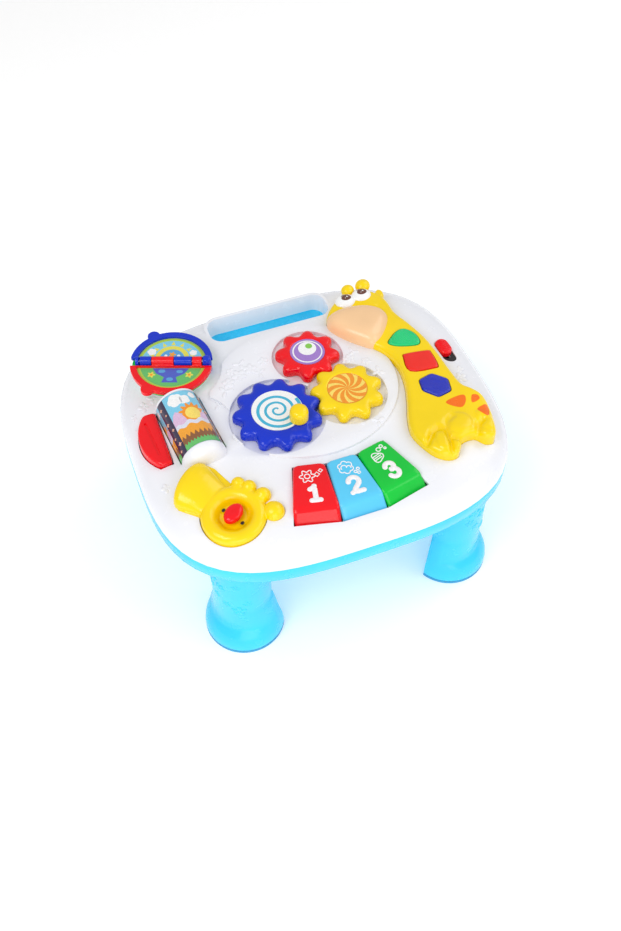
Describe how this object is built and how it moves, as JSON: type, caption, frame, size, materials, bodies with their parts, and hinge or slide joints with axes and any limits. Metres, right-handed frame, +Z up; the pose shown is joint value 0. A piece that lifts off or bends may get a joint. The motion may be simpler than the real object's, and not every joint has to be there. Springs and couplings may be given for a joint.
{
  "type": "musical activity table",
  "caption": "Low play table on bell-footed legs with meshing gears, turning drum, flip book, piano keys, trumpet, light-up giraffe and a carrying slot.",
  "frame": {"origin": "on the floor, below the middle of the table top", "axes": "+Z up, -Y towards the keyboard, +Y towards the carrying bar, +X to the giraffe"},
  "size_m": [0.34, 0.302, 0.184],
  "materials": {
    "white_shell": "gloss",
    "sky_blue_plastic": "gloss",
    "foot_rubber": "matt",
    "steel": "bright",
    "royal_blue_plastic": "gloss",
    "yellow_plastic": "gloss",
    "red_plastic": "gloss",
    "printed_film": "printed and varnished",
    "printed_drum": "printed",
    "light_blue_plastic": "gloss",
    "green_plastic": "gloss",
    "peach_plastic": "satin",
    "white_gloss": "gloss",
    "orange_plastic": "painted",
    "green_lens": "ribbed lens",
    "red_lens": "ribbed lens",
    "blue_lens": "ribbed lens",
    "board": "printed circuit board",
    "silicone": "matt",
    "black_plastic": "matt",
    "lamp": "clear",
    "battery_sleeve": "printed sleeve"
  },
  "bodies": {
    "table": {"top_shell": "white_shell", "bottom_shell": "sky_blue_plastic", "leg_front_left": "sky_blue_plastic", "leg_front_right": "sky_blue_plastic", "leg_back_left": "sky_blue_plastic", "leg_back_right": "sky_blue_plastic", "foot_pads": "foot_rubber", "gear_axles": "steel", "drum_axle": "steel", "bar_springs": "steel", "flip_base": "royal_blue_plastic", "flip_picture": "printed_film", "flip_pin": "steel", "trumpet_body": "yellow_plastic", "key_pins": "steel", "key_board": "board", "key_dome_red": "silicone", "key_dome_blue": "silicone", "key_dome_green": "silicone", "trumpet_dome": "silicone", "giraffe_body": "yellow_plastic", "giraffe_muzzle": "peach_plastic", "giraffe_eyes": "white_gloss", "giraffe_horns": "yellow_plastic", "giraffe_spots": "orange_plastic", "circuit_board": "board", "light_dome_green": "silicone", "light_dome_red": "silicone", "light_dome_blue": "silicone", "leds": "lamp", "switch_body": "black_plastic", "speaker": "black_plastic", "batteries": "battery_sleeve", "battery_contacts": "steel", "battery_door": "sky_blue_plastic", "door_screw": "steel", "case_screws": "steel"},
    "blue_gear": {"gear_blue": "royal_blue_plastic", "label_blue": "printed_film", "crank_pin": "steel"},
    "yellow_gear": {"gear_yellow": "yellow_plastic", "label_yellow": "printed_film"},
    "red_gear": {"gear_red": "red_plastic", "label_red": "printed_film"},
    "peg": {"crank_peg": "yellow_plastic"},
    "roller": {"drum": "printed_drum", "drum_caps": "white_shell"},
    "bar": {"press_bar": "red_plastic"},
    "blue_page": {"page_blue": "royal_blue_plastic", "card_blue": "printed_film"},
    "red_page": {"page_red": "red_plastic", "card_red": "printed_film"},
    "trumpet_push": {"trumpet_button": "red_plastic"},
    "red_key": {"key_red": "red_plastic"},
    "blue_key": {"key_blue": "light_blue_plastic"},
    "green_key": {"key_green": "green_plastic"},
    "green_light": {"light_button_green": "green_lens"},
    "red_light": {"light_button_red": "red_lens"},
    "blue_light": {"light_button_blue": "blue_lens"},
    "switch": {"power_switch": "red_plastic"}
  },
  "joints": [
    {"name": "blue_gear_spin", "type": "hinge", "parent": "table", "child": "blue_gear", "pos_m": [-0.0346, -0.0058, 0.165], "axis": [0, 0, 1], "continuous": true},
    {"name": "yellow_gear_spin", "type": "hinge", "parent": "table", "child": "yellow_gear", "pos_m": [0.03435, -0.00315, 0.165], "axis": [0, 0, 1], "continuous": true},
    {"name": "red_gear_spin", "type": "hinge", "parent": "table", "child": "red_gear", "pos_m": [0.01622, 0.05263, 0.165], "axis": [0, 0, 1], "continuous": true},
    {"name": "peg_spin", "type": "hinge", "parent": "blue_gear", "child": "peg", "pos_m": [-0.0198, -0.0222, 0.175], "axis": [0, 0, 1], "continuous": true},
    {"name": "drum_spin", "type": "hinge", "parent": "table", "child": "roller", "pos_m": [-0.113, 0.008, 0.158], "axis": [-0.0872, 0.9962, 0], "continuous": true},
    {"name": "bar_press", "type": "slide", "parent": "table", "child": "bar", "axis": [0, 0, -1], "range_m": [0, 0.0025], "stiffness_N_per_m": 600, "deforming": ["bar_springs"]},
    {"name": "blue_page_flip", "type": "hinge", "parent": "table", "child": "blue_page", "pos_m": [-0.108, 0.083, 0.173], "axis": [0.9354, -0.3535, 0], "range_deg": [0, 178]},
    {"name": "red_page_flip", "type": "hinge", "parent": "table", "child": "red_page", "pos_m": [-0.108, 0.083, 0.173], "axis": [0.9354, -0.3535, 0], "range_deg": [-178, 0]},
    {"name": "trumpet_press", "type": "slide", "parent": "table", "child": "trumpet_push", "axis": [0, 0, -1], "range_m": [0, 0.0025], "stiffness_N_per_m": 500, "deforming": ["trumpet_dome"]},
    {"name": "red_key_press", "type": "hinge", "parent": "table", "child": "red_key", "pos_m": [-0.02885, -0.07176, 0.155], "axis": [0.9767, -0.2147, 0], "range_deg": [0, 3], "stiffness_Nm_per_rad": 0.8, "deforming": ["key_dome_red"]},
    {"name": "blue_key_press", "type": "hinge", "parent": "table", "child": "blue_key", "pos_m": [0.001, -0.075, 0.155], "axis": [1, 0, 0], "range_deg": [0, 3], "stiffness_Nm_per_rad": 0.8, "deforming": ["key_dome_blue"]},
    {"name": "green_key_press", "type": "hinge", "parent": "table", "child": "green_key", "pos_m": [0.03085, -0.07176, 0.155], "axis": [0.9767, 0.2147, 0], "range_deg": [0, 3], "stiffness_Nm_per_rad": 0.8, "deforming": ["key_dome_green"]},
    {"name": "green_light_press", "type": "slide", "parent": "table", "child": "green_light", "axis": [0, 0, -1], "range_m": [0, 0.0025], "stiffness_N_per_m": 500, "deforming": ["light_dome_green"]},
    {"name": "red_light_press", "type": "slide", "parent": "table", "child": "red_light", "axis": [0, 0, -1], "range_m": [0, 0.0025], "stiffness_N_per_m": 500, "deforming": ["light_dome_red"]},
    {"name": "blue_light_press", "type": "slide", "parent": "table", "child": "blue_light", "axis": [0, 0, -1], "range_m": [0, 0.0025], "stiffness_N_per_m": 500, "deforming": ["light_dome_blue"]},
    {"name": "switch_slide", "type": "slide", "parent": "table", "child": "switch", "axis": [0.0523, -0.9986, 0], "range_m": [0, 0.009]}
  ],
  "couplings": [
    {"joint": "yellow_gear_spin", "follows": "blue_gear_spin", "ratio": -1.2222},
    {"joint": "red_gear_spin", "follows": "blue_gear_spin", "ratio": 1.375}
  ]
}
